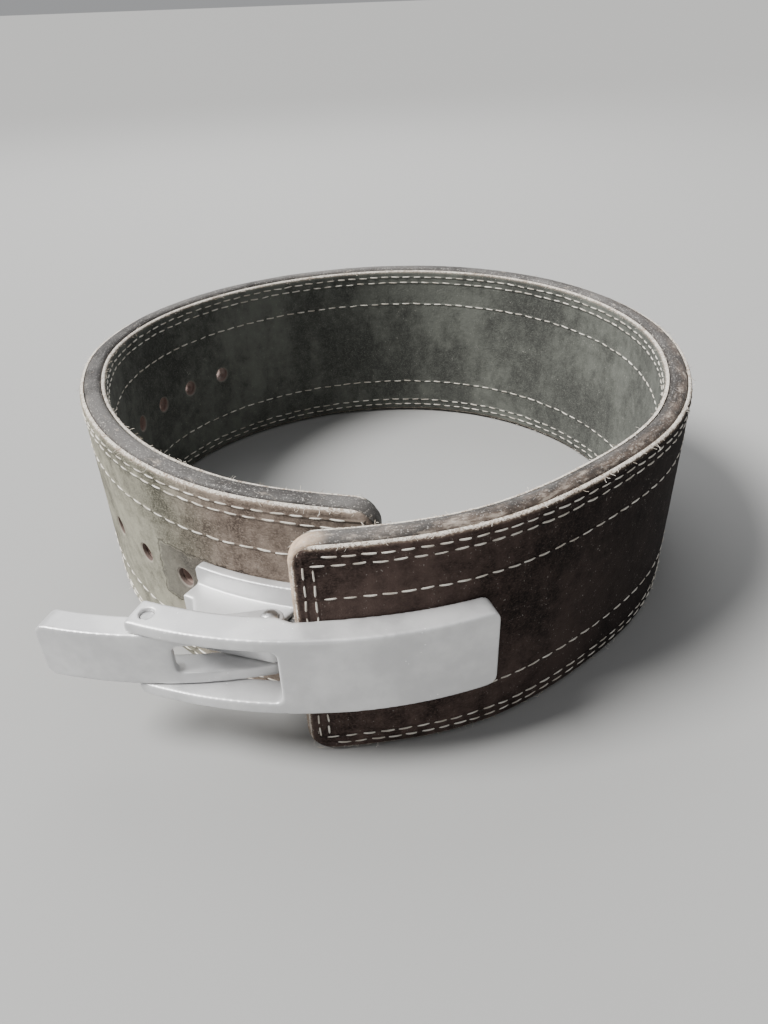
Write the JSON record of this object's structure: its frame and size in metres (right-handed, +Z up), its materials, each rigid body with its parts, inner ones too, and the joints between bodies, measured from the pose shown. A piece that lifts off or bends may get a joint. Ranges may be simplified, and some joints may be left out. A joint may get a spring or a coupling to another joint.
{
  "type": "weightlifting belt with lever buckle",
  "caption": "Wide stitched leather lifting belt standing on edge in a loop, closed by a cast lever buckle with a hinged handle and hook plate over its overlapping ends.",
  "frame": {"origin": "middle of the bounding box, at the floor the strap's lower edge stands on", "axes": "+Z up through the loop, +Y towards the back of the loop, the buckle faces -Y"},
  "size_m": [0.2954, 0.32, 0.1],
  "materials": {
    "suede": "napped suede, worn and faded to grey-brown, with off-white lock stitching",
    "core": "dyed and burnished cut edge, scuffed to tan at the corners",
    "cast": "cast and tumbled, pale satin with fine specks",
    "steel": "plain turned steel"
  },
  "bodies": {
    "strap": {"outer_suede": "suede", "leather_core": "core", "inner_suede": "suede", "base_plate": "cast", "base_pin": "steel", "screw_right": "steel", "screw_left": "steel"},
    "lever": {"handle": "cast", "hook_pin": "steel"},
    "hook": {"hook_plate": "cast"}
  },
  "joints": [
    {"name": "lever_swing", "type": "hinge", "parent": "strap", "child": "lever", "pos_m": [-0.04341, -0.13998, 0.05], "axis": [0, 0, 1], "range_deg": [0, 100]},
    {"name": "hook_swing", "type": "hinge", "parent": "lever", "child": "hook", "pos_m": [-0.08583, -0.14258, 0.05], "axis": [0, 0, 1], "range_deg": [-100, 0]}
  ],
  "couplings": [
    {"joint": "hook_swing", "follows": "lever_swing", "ratio": -1}
  ]
}
